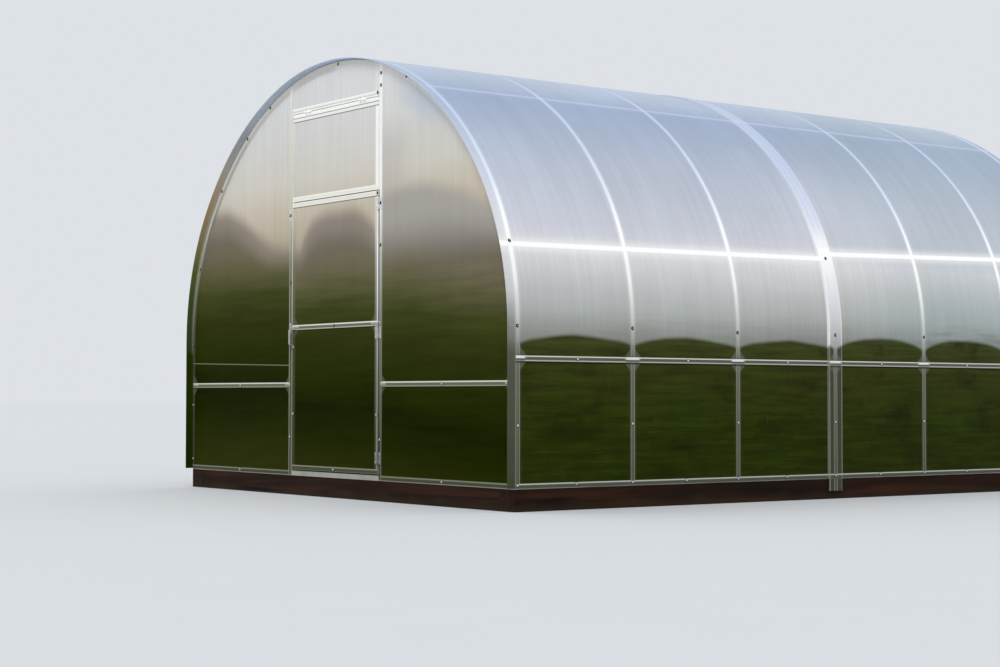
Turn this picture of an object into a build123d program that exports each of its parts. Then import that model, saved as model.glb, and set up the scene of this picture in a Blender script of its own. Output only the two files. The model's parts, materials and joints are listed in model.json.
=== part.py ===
from build123d import *
import math
import os

# Frame of square steel tube, in millimetres
frame_width = 3000
frame_height = 2095
shoulder_radius = 1240
shoulder_angle = 34.6
tube = 25

# Timber footing under the frame
timber_height = 100
timber_width = 100

# Roof sheets and the bays under them
sheet_width = 2100
sheet_overlap = 90
roof_lip = 55
bay_count = 6
sheet_thickness = 4
sheet_foot = 5
lap_ramp = 12
lap_tail = 60

# Rails along the sides, on the tube's centre line: heights above the timber, and the drop from the crown
lower_rail_height = 578.5
middle_purlin_height = 1101.5
upper_purlin_drop = 237.5

# Stamped clamps where two tubes cross
clamp_plate = 1.5
clamp_web = 3
clamp_reach = 50
clamp_fit = 0.2

# Gables: doorway, lintel and rails
doorway_width = 825
lintel_drop = 218.5
gable_rail_height = 468.5
panel_inset = 5
seam_gap = 4
lintel_cover = 12

# Door leaf and the vent over it
leaf_gap = 5
leaf_top = 1413.5
leaf_bar_height = 764.5
vent_gap = 3
vent_head = 40
leaf_panel_inset = 2.5

# Lift-off hinges of the door
hinge_heights = (110, 720, 1350)
hinge_length = 60
hinge_width = 22
hinge_plate = 2
knuckle_radius = 5
pin_radius = 2.5
pin_fit = 0.1
knuckle_gap = 0.5

# Hinges of the vent
vent_hinge_offset = 260
vent_hinge_length = 60
vent_hinge_height = 12
vent_knuckle_radius = 4

# Pull handle on the door, bent from strip
handle_height = 715
handle_length = 80
handle_depth = 26
handle_width = 16
handle_strip = 3
handle_bend = 7
handle_foot = 16

# Turn latches on the post beside the leaf's free edge
latch_heights = (760, 1350)
latch_length = 60
latch_width = 14
latch_plate = 2
latch_corner = 4

# Clearance between curved faces that rest on each other
seat_gap = 0.3

half_tube = tube / 2
pitch = (2 * sheet_width - sheet_overlap - 2 * roof_lip) / bay_count
frame_length = bay_count * pitch
first_arch_y = -frame_length / 2
arch_places = [first_arch_y + index * pitch for index in range(bay_count + 1)]

# The arch line runs along the tube's centre: a straight leg, a shoulder and a flatter crown
half_span = frame_width / 2 - half_tube
crown_z = timber_height + frame_height - half_tube
shoulder_turn = math.radians(shoulder_angle)
shoulder_x = half_span - shoulder_radius
centre_gap = shoulder_x / math.cos(shoulder_turn)
crown_radius = shoulder_radius + centre_gap
crown_centre_z = crown_z - crown_radius
spring_z = crown_centre_z + centre_gap * math.sin(shoulder_turn)

# Faces that other pieces are set against
arch_foot = timber_height + tube
gable_face = first_arch_y - half_tube
sheet_face = gable_face - sheet_thickness
arch_bow = clamp_reach**2 / (2 * shoulder_radius)
roof_seat = half_tube + clamp_fit + clamp_plate + arch_bow + seat_gap
upper_purlin_height = frame_height - upper_purlin_drop
post_x = (doorway_width + tube) / 2
post_inner = doorway_width / 2
leaf_half = post_inner - leaf_gap
leaf_low = timber_height + tube + leaf_gap
leaf_high = timber_height + leaf_top
vent_low = leaf_high + vent_gap
lintel_low = timber_height + frame_height - lintel_drop
vent_high = lintel_low - vent_gap
hinge_axis_x = post_inner - leaf_gap / 2
hinge_axis_y = sheet_face - knuckle_radius


def block(x_low, x_high, y_low, y_high, z_low, z_high):
    """A box given by its lowest and highest corners."""
    size = Box(x_high - x_low, y_high - y_low, z_high - z_low, align=(Align.MIN, Align.MIN, Align.MIN))
    return Pos(x_low, y_low, z_low) * size


def slab(face, y_low, y_high):
    """A face in the XZ plane given thickness along Y."""
    return Pos(0, y_high, 0) * extrude(face, y_high - y_low, dir=(0, -1, 0))


def outline(offset, foot):
    """The face inside the arch line moved outwards by offset, cut off level at foot."""
    side = half_span + offset
    turn = math.degrees(shoulder_turn)
    edges = [
        Line((side, foot), (side, spring_z)),
        CenterArc((shoulder_x, spring_z), shoulder_radius + offset, 0, turn),
        CenterArc((0, crown_centre_z), crown_radius + offset, turn, 180 - 2 * turn),
        CenterArc((-shoulder_x, spring_z), shoulder_radius + offset, 180 - turn, turn),
        Line((-side, spring_z), (-side, foot)),
        Line((-side, foot), (side, foot)),
    ]
    return Plane.XZ * make_face(edges)


def band(inner, outer, foot, y_low, y_high):
    """A strip that follows the arch line between two offsets from it."""
    return slab(outline(outer, foot) - outline(inner, foot), y_low, y_high)


def station(height):
    """The point of the arch line at a height above the timber, and the tilt of its outward side."""
    z = timber_height + height
    shoulder_end = spring_z + shoulder_radius * math.sin(shoulder_turn)
    if z <= spring_z:
        return half_span, z, 0
    if z <= shoulder_end:
        tilt = math.asin((z - spring_z) / shoulder_radius)
        return shoulder_x + shoulder_radius * math.cos(tilt), z, tilt
    tilt = math.asin((z - crown_centre_z) / crown_radius)
    return crown_radius * math.cos(tilt), z, tilt


def seat(height, y):
    """A plane on the arch line: X points out of the house, Y along it and Z up the arch."""
    x, z, tilt = station(height)
    outward = (math.cos(tilt), 0, math.sin(tilt))
    upward = (-math.sin(tilt), 0, math.cos(tilt))
    return Plane(origin=(x, y, z), x_dir=outward, z_dir=upward)


def arch(y):
    """One arch, standing on the base rails."""
    return band(-half_tube, half_tube, arch_foot, y - half_tube, y + half_tube)


def long_rail(height):
    """One line of rails on the right side, a length in each bay."""
    middles = [y + pitch / 2 for y in arch_places[:-1]]
    return Compound([seat(height, y) * Box(tube, pitch - tube, tube) for y in middles])


def cross_clamp():
    """The stamped clamp of a crossing, lying as on a seat plane, with flat webs between its arms.

    It is straight, and roomy enough outwards for the bow of the arch between its ends.
    """
    side = half_tube + clamp_fit
    depth = side + arch_bow / 2
    side_out = side + clamp_plate
    depth_out = depth + clamp_plate
    arms = Box(2 * depth_out, 2 * side_out, 2 * clamp_reach) + Box(2 * depth_out, 2 * clamp_reach, 2 * side_out)
    corners = [
        (clamp_reach, side_out),
        (side_out, clamp_reach),
        (-side_out, clamp_reach),
        (-clamp_reach, side_out),
        (-clamp_reach, -side_out),
        (-side_out, -clamp_reach),
        (side_out, -clamp_reach),
        (clamp_reach, -side_out),
    ]
    web = extrude(Plane.YZ * make_face(Polyline(*corners, close=True)), clamp_web / 2, both=True)
    rooms = Box(2 * depth, 2 * side, 3 * clamp_reach) + Box(2 * depth, 3 * clamp_reach, 2 * side)
    return Pos(-arch_bow / 2, 0, 0) * (arms + web - rooms)


def side_clamps():
    """All cross clamps of the right side, those of the end arches cut flush with the gables."""
    clamps = []
    reach = 2 * frame_width
    inside = block(-reach, reach, gable_face, -gable_face, 0, reach)
    for height in (lower_rail_height, middle_purlin_height, upper_purlin_height):
        for y in arch_places:
            clamps.append(seat(height, y) * cross_clamp() & inside)
    return Compound(clamps)


def gable_clamp(x, z, arm):
    """A clamp in the front gable where a side rail meets an upright; arm points to the rail's side."""
    outside = half_tube + clamp_plate
    inside = half_tube + clamp_fit
    upright = Box(2 * outside, 2 * outside, 2 * clamp_reach)
    rail = Pos(arm * clamp_reach / 2, 0, 0) * Box(clamp_reach, 2 * outside, 2 * outside)
    corners = [
        (0, clamp_reach),
        (arm * outside, clamp_reach),
        (arm * clamp_reach, outside),
        (arm * clamp_reach, -outside),
        (arm * outside, -clamp_reach),
        (0, -clamp_reach),
    ]
    web = extrude(Plane.XZ * make_face(Polyline(*corners, close=True)), clamp_web / 2, both=True)
    upright_room = Box(2 * inside, 2 * inside, 3 * clamp_reach)
    rail_room = Pos(arm * clamp_reach, 0, 0) * Box(2 * clamp_reach, 2 * inside, 2 * inside)
    clamp = Pos(x, first_arch_y, z) * (upright + rail + web - upright_room - rail_room)
    return clamp & block(-frame_width, frame_width, gable_face, 0, 0, frame_height)


def leaf_clamp(arm):
    """A clamp where the leaf's bar meets a stile, cut flush with the leaf's edge."""
    x = -arm * (leaf_half - half_tube)
    clamp = gable_clamp(x, timber_height + leaf_bar_height, arm)
    return clamp & block(-leaf_half, leaf_half, gable_face, 0, 0, frame_height)


def roof_sheet_front():
    """The front roof sheet, bent over the arches, with a lip beyond the gable."""
    y_low = first_arch_y - roof_lip
    foot = timber_height + sheet_foot
    return band(roof_seat, roof_seat + sheet_thickness, foot, y_low, y_low + sheet_width)


def roof_sheet_back():
    """The back roof sheet, which steps over the edge of the front one and hangs lower there."""
    y_low = first_arch_y - roof_lip + sheet_width - sheet_overlap
    lap_end = y_low + sheet_overlap + seat_gap
    lap_seat = roof_seat + sheet_thickness + seat_gap
    lap_top = lap_seat + sheet_thickness
    foot = timber_height + sheet_foot
    tail_foot = timber_height - lap_tail
    main = band(roof_seat, roof_seat + sheet_thickness, foot, lap_end + lap_ramp, y_low + sheet_width)
    ramp = band(roof_seat, lap_top, foot, lap_end, lap_end + lap_ramp)
    lap = band(lap_seat, lap_top, tail_foot, y_low, lap_end)
    return main + ramp + lap


def post(x):
    """A gable upright, cut to the underside of the first arch."""
    stock = block(x - half_tube, x + half_tube, gable_face, gable_face + tube, arch_foot, crown_z)
    room = slab(outline(-half_tube - seat_gap, arch_foot), gable_face, gable_face + tube)
    return stock & room


def ladder_frame(z_low, z_high, windows):
    """A welded frame of the door opening's width, with windows given as pairs of heights."""
    face = Rectangle(2 * leaf_half, z_high - z_low)
    face = Pos(0, (z_low + z_high) / 2) * face
    for low, high in windows:
        hole = Rectangle(2 * (leaf_half - tube), high - low)
        face = face - Pos(0, (low + high) / 2) * hole
    return slab(Plane.XZ * face, gable_face, gable_face + tube)


def door_frame():
    """The frame of the lower leaf, with one bar across it."""
    bar_low = timber_height + leaf_bar_height - half_tube
    windows = [(leaf_low + tube, bar_low), (bar_low + tube, leaf_high - tube)]
    return ladder_frame(leaf_low, leaf_high, windows)


def vent_frame():
    """The frame of the vent over the door, with a deeper head."""
    return ladder_frame(vent_low, vent_high, [(vent_low + tube, vent_high - vent_head)])


def gable_sheet(face):
    """A flat sheet on the outside of the front gable, from a face in the XZ plane."""
    return slab(face, sheet_face, gable_face)


def panel_area(x_low, x_high, z_low, z_high):
    """The part of the gable between four limits, inside the arch's outer edge."""
    window = Pos((x_low + x_high) / 2, (z_low + z_high) / 2) * Rectangle(x_high - x_low, z_high - z_low)
    return outline(half_tube - panel_inset, timber_height + sheet_foot) & (Plane.XZ * window)


def side_panel():
    """The right-hand panel of the front gable."""
    inner = post_inner + seam_gap
    return gable_sheet(panel_area(inner, frame_width, timber_height, 2 * frame_height))


def top_panel():
    """The panel between the posts over the lintel."""
    return gable_sheet(panel_area(-post_inner, post_inner, lintel_low + lintel_cover, 2 * frame_height))


def leaf_panel(z_low, z_high):
    """The sheet of a leaf, between two heights."""
    half = leaf_half - leaf_panel_inset
    return block(-half, half, sheet_face, gable_face, z_low, z_high)


def barrel(radius, z_low, z_high):
    """A round bar on the axis of the door hinges."""
    bar = Cylinder(radius, z_high - z_low, align=(Align.CENTER, Align.CENTER, Align.MIN))
    return Pos(hinge_axis_x, hinge_axis_y, z_low) * bar


def hinge_flange(side, z_low, z_high, root_low, root_high):
    """A hinge plate on the sheets, with a root that joins it to its knuckle between two heights."""
    near = hinge_axis_x + side * (knuckle_radius + knuckle_gap)
    far = near + side * hinge_width
    y_low = sheet_face - hinge_plate
    plate = block(min(near, far), max(near, far), y_low, sheet_face, z_low, z_high)
    root = block(min(near, hinge_axis_x), max(near, hinge_axis_x), y_low, sheet_face, root_low, root_high)
    return plate + root


def post_hinge(height):
    """The lower half of a door hinge, fixed to the post, with the pin."""
    middle = timber_height + height
    low = middle - hinge_length / 2
    high = middle + hinge_length / 2
    flange = hinge_flange(1, low, high, low, middle)
    return flange + barrel(knuckle_radius, low, middle) + barrel(pin_radius, middle, high)


def leaf_hinge(height):
    """The upper half of a door hinge, which turns with the leaf on the pin."""
    middle = timber_height + height
    low = middle - hinge_length / 2
    high = middle + hinge_length / 2
    foot = middle + knuckle_gap
    flange = hinge_flange(-1, low, high, foot, high)
    return flange + barrel(knuckle_radius, foot, high) - barrel(pin_radius + pin_fit, low, high)


def closed_hinge(height):
    """A whole door hinge that stays closed."""
    middle = timber_height + height
    low = middle - hinge_length / 2
    high = middle + hinge_length / 2
    flanges = hinge_flange(1, low, high, low, high) + hinge_flange(-1, low, high, low, high)
    return flanges + barrel(knuckle_radius, low, high)


def vent_hinge(x):
    """A closed hinge over the gap between the lintel and the vent."""
    z = (lintel_low + vent_high) / 2
    half = vent_hinge_length / 2
    y_low = gable_face - hinge_plate
    plates = block(x - half, x + half, y_low, gable_face, z - vent_hinge_height, z + vent_hinge_height)
    barrel = Rot(0, 90, 0) * Cylinder(vent_knuckle_radius, vent_hinge_length)
    barrel = Pos(x, gable_face - vent_knuckle_radius, z) * barrel
    return plates + barrel


def door_handle():
    """A bow of bent strip with two flat feet, on the leaf's free side."""
    x = half_tube - leaf_half
    middle = timber_height + handle_height
    low = middle - handle_length / 2
    high = middle + handle_length / 2
    back = sheet_face - handle_strip / 2
    front = sheet_face - handle_depth + handle_strip / 2
    path = FilletPolyline(
        (back, low - handle_foot),
        (back, low),
        (front, low),
        (front, high),
        (back, high),
        (back, high + handle_foot),
        radius=handle_bend,
    )
    strip = Plane.YZ * trace(path, handle_strip)
    return Pos(x, 0, 0) * extrude(strip, handle_width / 2, both=True)


def turn_latch(height):
    """A turn latch on the left post, standing upright so that the leaf is free."""
    face = chamfer(Rectangle(latch_width, latch_length).vertices(), latch_corner)
    plate = slab(Plane.XZ * face, sheet_face - latch_plate, sheet_face)
    return Pos(-post_x, 0, timber_height + height) * plate


def pair(piece):
    """A piece and its mirror image on the other side of the house."""
    return Compound([piece, mirror(piece, about=Plane.YZ)])


def to_back(piece):
    """The same piece in the back gable."""
    return mirror(piece, about=Plane.XZ)


parts = {}

for index, place in enumerate(arch_places):
    parts[f"arch_{index + 1}"] = arch(place)

rail_reach = frame_length / 2 + half_tube
frame_edge = frame_width / 2
base_rail = block(frame_edge - tube, frame_edge, -rail_reach, rail_reach, timber_height, arch_foot)
parts["base_rail_right"] = base_rail
parts["base_rail_left"] = mirror(base_rail, about=Plane.YZ)
end_half = frame_edge - tube
end_rail = block(-end_half, end_half, gable_face, gable_face + tube, timber_height, arch_foot)
parts["end_base_rails"] = Compound([end_rail, to_back(end_rail)])

rail_lines = {
    "lower_rail": lower_rail_height,
    "middle_purlin": middle_purlin_height,
    "upper_purlin": upper_purlin_height,
}
for name, height in rail_lines.items():
    parts[f"{name}_right"] = long_rail(height)
    parts[f"{name}_left"] = mirror(long_rail(height), about=Plane.YZ)

clamps = side_clamps()
parts["cross_clamps_right"] = clamps
parts["cross_clamps_left"] = mirror(clamps, about=Plane.YZ)

side_timber = block(frame_edge - timber_width, frame_edge, -rail_reach, rail_reach, 0, timber_height)
parts["side_timbers"] = pair(side_timber)
end_half = frame_edge - timber_width
end_timber = block(-end_half, end_half, gable_face, gable_face + timber_width, 0, timber_height)
parts["end_timbers"] = Compound([end_timber, to_back(end_timber)])

posts = pair(post(post_x))
lintel = block(-post_inner, post_inner, gable_face, gable_face + tube, lintel_low, lintel_low + tube)
rail_low = timber_height + gable_rail_height - half_tube
rail_start = post_x + half_tube
rail_end = frame_edge - tube
side_rail = block(rail_start, rail_end, gable_face, gable_face + tube, rail_low, rail_low + tube)
side_rails = [side_rail, mirror(side_rail, about=Plane.YZ)]
parts["front_posts"] = posts
parts["front_lintel"] = lintel
parts["gable_side_rails"] = Compound(side_rails + [to_back(rail) for rail in side_rails])
parts["back_posts"] = to_back(posts)
parts["back_lintel"] = to_back(lintel)

clamp_z = timber_height + gable_rail_height
right_clamps = [gable_clamp(post_x, clamp_z, 1), gable_clamp(half_span, clamp_z, -1)]
front_clamps = right_clamps + [mirror(clamp, about=Plane.YZ) for clamp in right_clamps]
parts["gable_clamps"] = Compound(front_clamps + [to_back(clamp) for clamp in front_clamps])

right_panel = side_panel()
left_panel = mirror(right_panel, about=Plane.YZ)
over_lintel = top_panel()
door_sheet = leaf_panel(leaf_low, leaf_high)
vent_sheet = leaf_panel(vent_low, vent_high - vent_head / 2)
parts["front_panel_right"] = right_panel
parts["front_panel_left"] = left_panel
parts["front_panel_top"] = over_lintel
parts["door_frame"] = door_frame()
parts["door_panel"] = door_sheet
parts["vent_frame"] = vent_frame()
parts["vent_panel"] = vent_sheet
back_sheets = (right_panel, left_panel, over_lintel, door_sheet, vent_sheet)
parts["back_panels"] = Compound([to_back(sheet) for sheet in back_sheets])
parts["back_door_frame"] = to_back(door_frame())
parts["back_vent_frame"] = to_back(vent_frame())

post_halves = [post_hinge(height) for height in hinge_heights]
leaf_halves = [leaf_hinge(height) for height in hinge_heights]
vent_hinges = [vent_hinge(side * vent_hinge_offset) for side in (1, -1)]
leaf_clamps = [leaf_clamp(arm) for arm in (1, -1)]
latches = [turn_latch(height) for height in latch_heights]
handle = door_handle()
parts["post_hinges"] = Compound(post_halves)
parts["leaf_hinges"] = Compound(leaf_halves)
parts["leaf_clamps"] = Compound(leaf_clamps)
parts["door_handle"] = handle
parts["turn_latches"] = Compound(latches)
parts["vent_hinges"] = Compound(vent_hinges)
closed_hinges = [closed_hinge(height) for height in hinge_heights]
fittings = closed_hinges + vent_hinges + leaf_clamps + latches + [handle]
parts["back_fittings"] = Compound([to_back(fitting) for fitting in fittings])

parts["roof_sheet_front"] = roof_sheet_front()
parts["roof_sheet_back"] = roof_sheet_back()

os.makedirs("parts", exist_ok=True)
for name, shape in parts.items():
    export_step(shape, f"parts/{name}.step")
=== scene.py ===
import json
import math
import random

import bmesh
import bpy
from mathutils import Matrix, Vector


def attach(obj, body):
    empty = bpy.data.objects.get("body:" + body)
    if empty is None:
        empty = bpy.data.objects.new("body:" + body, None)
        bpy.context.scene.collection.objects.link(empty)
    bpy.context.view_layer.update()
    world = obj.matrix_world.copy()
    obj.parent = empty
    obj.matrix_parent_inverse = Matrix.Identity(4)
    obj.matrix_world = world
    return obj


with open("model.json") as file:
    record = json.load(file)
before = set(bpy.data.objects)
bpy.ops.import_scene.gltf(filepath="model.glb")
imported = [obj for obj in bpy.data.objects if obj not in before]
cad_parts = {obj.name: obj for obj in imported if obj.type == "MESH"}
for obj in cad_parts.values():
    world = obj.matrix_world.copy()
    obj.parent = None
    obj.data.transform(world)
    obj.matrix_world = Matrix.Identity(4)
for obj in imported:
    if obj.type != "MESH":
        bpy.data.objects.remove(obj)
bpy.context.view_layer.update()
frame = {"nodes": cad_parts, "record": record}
nodes = frame["nodes"]

# Frame of square steel tube, in metres, as in the model
TUBE = 0.025
HALF_TUBE = TUBE / 2
BAY_COUNT = 6
PITCH = 4 / BAY_COUNT
FIRST_ARCH_Y = -2.0
SHEET = 0.004
SHEET_GAP = 0.0003

# The arch line: a straight leg, a shoulder and a flatter crown
HALF_SPAN = 1.4875
SHOULDER_RADIUS = 1.24
SHOULDER_TURN = math.radians(34.6)
CROWN_TOP = 2.1825
SHOULDER_X = HALF_SPAN - SHOULDER_RADIUS
CENTRE_GAP = SHOULDER_X / math.cos(SHOULDER_TURN)
CROWN_RADIUS = SHOULDER_RADIUS + CENTRE_GAP
CROWN_CENTRE_Z = CROWN_TOP - CROWN_RADIUS
SPRING_Z = CROWN_CENTRE_Z + CENTRE_GAP * math.sin(SHOULDER_TURN)
SHOULDER_END_Z = SPRING_Z + SHOULDER_RADIUS * math.sin(SHOULDER_TURN)
SHEET_OFFSET = 0.0195

# Heights of the rails' centre lines along the sides
LOWER_RAIL_Z = 0.6785
MIDDLE_PURLIN_Z = 1.2015
UPPER_PURLIN_Z = 1.9575
CLAMP_REACH = 0.05
CLAMP_CORNER = 0.064

# The gable's uprights, rails and leaves
GABLE_Y = -2.0125
SHEET_FACE_Y = -2.0165
POST_X = 0.425
STILE_X = 0.395
DOOR_SIDE_X = (POST_X + STILE_X) / 2
DOOR_SIDE_HALF = (POST_X - STILE_X) / 2 + HALF_TUBE
GABLE_RAIL_Z = 0.5685
LEAF_BAR_Z = 0.8645
LEAF_LOW_BAR_Z = 0.1425
LEAF_HIGH_BAR_Z = 1.501
VENT_LOW_BAR_Z = 1.529
VENT_HEAD_Z = 1.9535
VENT_HEAD_HALF = 0.02
LINTEL_Z = 1.989
BASE_RAIL_Z = 0.1125

# Painted shade lies in the seam of the hinge side, between the door's sheet and the sheet beside it
SEAM_X = 0.406

# The rail of the far wall as seen through the left panel, painted on it as a faint highlight line, rising
# outwards from the post
FAR_RAIL_Z = 0.67
FAR_RAIL_SLOPE = 0.021

# The overlap of the two roof sheets
LAP_LOW_Y = -0.045
LAP_HIGH_Y = 0.0453
LAP_MIDDLE_Y = (LAP_LOW_Y + LAP_HIGH_Y) / 2
LAP_HALF = (LAP_HIGH_Y - LAP_LOW_Y) / 2
FLUTE = 0.006

# The tone of the roof's lip before the gable fades out behind its face over this length
LIP_FADE = 0.004

# The line of glare over the middle purlin drifts along each sheet and steps where they overlap
FRONT_GLARE_SLOPE = 0.0095
BACK_GLARE_SLOPE = 0.023
BACK_GLARE_STEP = 0.024

# Upper edge of the painted dark reflection on the sides: it wanders, hangs at the arches and rises within
# the back bays
REFLECTION_EDGE_Z = 0.788
EDGE_WAVE = 0.03
EDGE_DIP = 0.032
EDGE_POINT_DIP = 0.012
BACK_EDGE_RISE = 0.02

# Upper edge of the painted dark reflection on the gable: level in the door but for its sides, rising left,
# bowed right
DOOR_CREST_X = 0.04
DOOR_CREST_Z = 1.445
DOOR_CREST_LOW_Z = 1.28
DOOR_CREST_FALL = 9
LEFT_CREST_Z = 1.285
LEFT_CREST_RISE = 0.24
RIGHT_CREST_X = 0.72
RIGHT_CREST_Z = 1.52
RIGHT_CREST_FALL = 0.45

# Middle of a painted duller reflection in the right panel, beside the door
DULL_REFLECTION_Z = 1.6

# The tones by height are given between these heights
ROOF_LOW_Z = 0.1
ROOF_HIGH_Z = 2.2

# The camera, from the photograph's perspective
IMAGE_WIDTH = 1000
FOCAL_PIXELS = 1940
SENSOR_WIDTH = 36
CAMERA_PLACE = (8.3126, -7.1721, 0.5083)
CAMERA_YAW = -0.9301
CAMERA_PITCH = 0.0326
CAMERA_ROLL = 0.0014


def linear(colour):
    """A colour given as 0 to 255 values of the screen, as the linear values that shaders use."""
    values = []
    for value in colour:
        part = value / 255
        values.append(part / 12.92 if part <= 0.04045 else ((part + 0.055) / 1.055) ** 2.4)
    return (*values, 1.0)


class Field:
    """A number that varies over a surface, worked out by shader nodes."""

    def __init__(self, graph, socket):
        self.graph = graph
        self.socket = socket

    def __add__(self, other):
        return self.graph.math("ADD", self, other)

    def __sub__(self, other):
        return self.graph.math("SUBTRACT", self, other)

    def __mul__(self, other):
        return self.graph.math("MULTIPLY", self, other)

    def __truediv__(self, other):
        return self.graph.math("DIVIDE", self, other)

    def __abs__(self):
        return self.graph.math("ABSOLUTE", self)


def add_node(tree, kind, inputs, output=0, **settings):
    """An output of a new node, which has these settings and these inputs, by number or name."""
    node = tree.nodes.new("ShaderNode" + kind)
    for name, value in settings.items():
        setattr(node, name, value)
    for name, value in inputs.items():
        if isinstance(value, Field):
            value = value.socket
        if isinstance(value, bpy.types.NodeSocket):
            tree.links.new(value, node.inputs[name])
        else:
            node.inputs[name].default_value = value
    return node.outputs[output] if node.outputs else None


class Graph:
    """The nodes of one material, with short names for the kinds used here."""

    def __init__(self, name):
        self.material = bpy.data.materials.new(name)
        self.material.use_nodes = True
        self.tree = self.material.node_tree
        self.tree.nodes.clear()
        self.colour = None
        self.coordinates = self.node("TexCoord", {}, "Object")
        parts = self.node("SeparateXYZ", {0: self.coordinates}).node.outputs
        self.x, self.y, self.z = (Field(self, part) for part in parts)

    def node(self, kind, inputs, output=0, **settings):
        return add_node(self.tree, kind, inputs, output, **settings)

    def math(self, operation, *values):
        return Field(self, self.node("Math", dict(enumerate(values)), operation=operation))

    def largest(self, *values):
        result = values[0]
        for value in values[1:]:
            result = self.math("MAXIMUM", result, value)
        return result

    def scaled(self, value, factor, base):
        """A value times a factor, plus a base."""
        return self.math("MULTIPLY_ADD", value, factor, base)

    def rest(self, value):
        """What is left of 1 beside a value."""
        return self.math("SUBTRACT", 1.0, value)

    def line(self, value, middle, half_width, softness=0.002):
        """1 along a line where a value comes close to its middle."""
        return self.inside(abs(value - middle), half_width, softness)

    def inside(self, distance, limit, softness):
        """1 where a distance is under a limit, fading to 0 over the softness beyond it."""
        return self.fade(distance, limit, limit + softness, 1, 0)

    def fade(self, value, low, high, at_low=0, at_high=1):
        """A smooth step from one value at low to another at high."""
        inputs = {"Value": value, "From Min": low, "From Max": high, "To Min": at_low, "To Max": at_high}
        return Field(self, self.node("MapRange", inputs, "Result", interpolation_type="SMOOTHSTEP"))

    def place(self, x, y, z):
        """Coordinates made of three numbers or fields."""
        return self.node("CombineXYZ", {0: x, 1: y, 2: z})

    def noise(self, place, scale, detail=3, roughness=0.5):
        inputs = {"Vector": place, "Scale": scale, "Detail": detail, "Roughness": roughness}
        return Field(self, self.node("TexNoise", inputs, "Fac"))

    def cells(self, place, scale):
        """How far a point is from the middle of its cell, for cells packed at random."""
        return Field(self, self.node("TexVoronoi", {"Vector": place, "Scale": scale}, "Distance"))

    def ramp(self, factor, stops):
        """A colour chosen along a row of stops, each a position from 0 to 1 and a screen colour."""
        colour = self.node("ValToRGB", {"Fac": factor}, "Color")
        elements = colour.node.color_ramp.elements
        while len(elements) < len(stops):
            elements.new(0.5)
        for element, (position, tone) in zip(elements, stops):
            element.position = position
            element.color = linear(tone)
        return colour

    def height_share(self):
        """0 at the lowest height of the tones and 1 at the highest."""
        return (self.z - ROOF_LOW_Z) / (ROOF_HIGH_Z - ROOF_LOW_Z)

    def tone(self, share, tones):
        """The colour that tones by height have at a share of that height."""
        span = ROOF_HIGH_Z - ROOF_LOW_Z
        return self.ramp(share, [((height - ROOF_LOW_Z) / span, tone) for height, tone in tones])

    def mix(self, factor, first, second):
        """The first colour where factor is 0 and the second where it is 1."""
        return self.node("Mix", {0: factor, 6: first, 7: second}, 2, data_type="RGBA")

    def tint(self, colour, strength, tone):
        """A colour drawn towards a tone, which is a screen colour or one worked out by nodes."""
        return self.mix(strength, colour, linear(tone) if isinstance(tone, tuple) else tone)

    def paint(self, strength, tone):
        """Tint the graph's own colour."""
        self.colour = self.tint(self.colour, strength, tone)

    def scale_colour(self, colour, factor):
        return self.node("VectorMath", {0: colour, "Scale": factor}, operation="SCALE")

    def bump(self, height, distance, strength, **below):
        """A relief; below may give the Normal that it lies on."""
        inputs = {"Height": height, "Distance": distance, "Strength": strength, **below}
        return self.node("Bump", inputs)

    def rounded(self, radius):
        return self.node("Bevel", {"Radius": radius}, samples=4)

    def surface(self, **values):
        """The finished surface, with each named value set on its own socket."""
        inputs = {name.replace("_", " "): value for name, value in values.items()}
        self.node("OutputMaterial", {"Surface": self.node("BsdfPrincipled", inputs)})
        return self.material


def assign(material, *names):
    """The material for CAD nodes, given by name."""
    for name in names:
        data = nodes[name].data
        data.materials.clear()
        data.materials.append(material)


# Tones by height, each a height in metres and a screen colour: first the sheets' painted reflections,
# bright sky above and a dark green treeline below
SIDE_SKY_REFLECTION = [
    (0.70, (126, 129, 118)), (0.80, (154, 157, 151)), (0.90, (186, 190, 188)),
    (1.05, (212, 213, 214)), (1.17, (232, 232, 235)), (1.30, (212, 215, 226)),
    (1.60, (192, 201, 217)), (1.80, (174, 188, 212)), (1.94, (164, 182, 212)),
    (2.10, (190, 206, 230)),
]
SIDE_DARK_REFLECTION = [
    (0.10, (35, 44, 2)), (0.35, (36, 45, 2)), (0.50, (44, 51, 9)),
    (0.66, (50, 55, 16)), (0.80, (62, 66, 32)),
]
GABLE_DARK_REFLECTION = [
    (0.10, (42, 48, 8)), (0.30, (28, 35, 1)), (0.45, (22, 29, 0)),
    (0.60, (33, 41, 3)), (0.80, (45, 51, 14)), (0.95, (60, 65, 27)),
    (1.08, (92, 90, 62)), (1.18, (108, 102, 82)), (1.30, (114, 107, 96)),
    (1.50, (126, 119, 112)),
]
GABLE_SKY_REFLECTION = [
    (1.15, (176, 160, 134)), (1.32, (192, 178, 155)), (1.48, (209, 199, 181)),
    (1.62, (218, 213, 202)), (1.80, (220, 219, 215)), (2.10, (226, 227, 228)),
]
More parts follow.
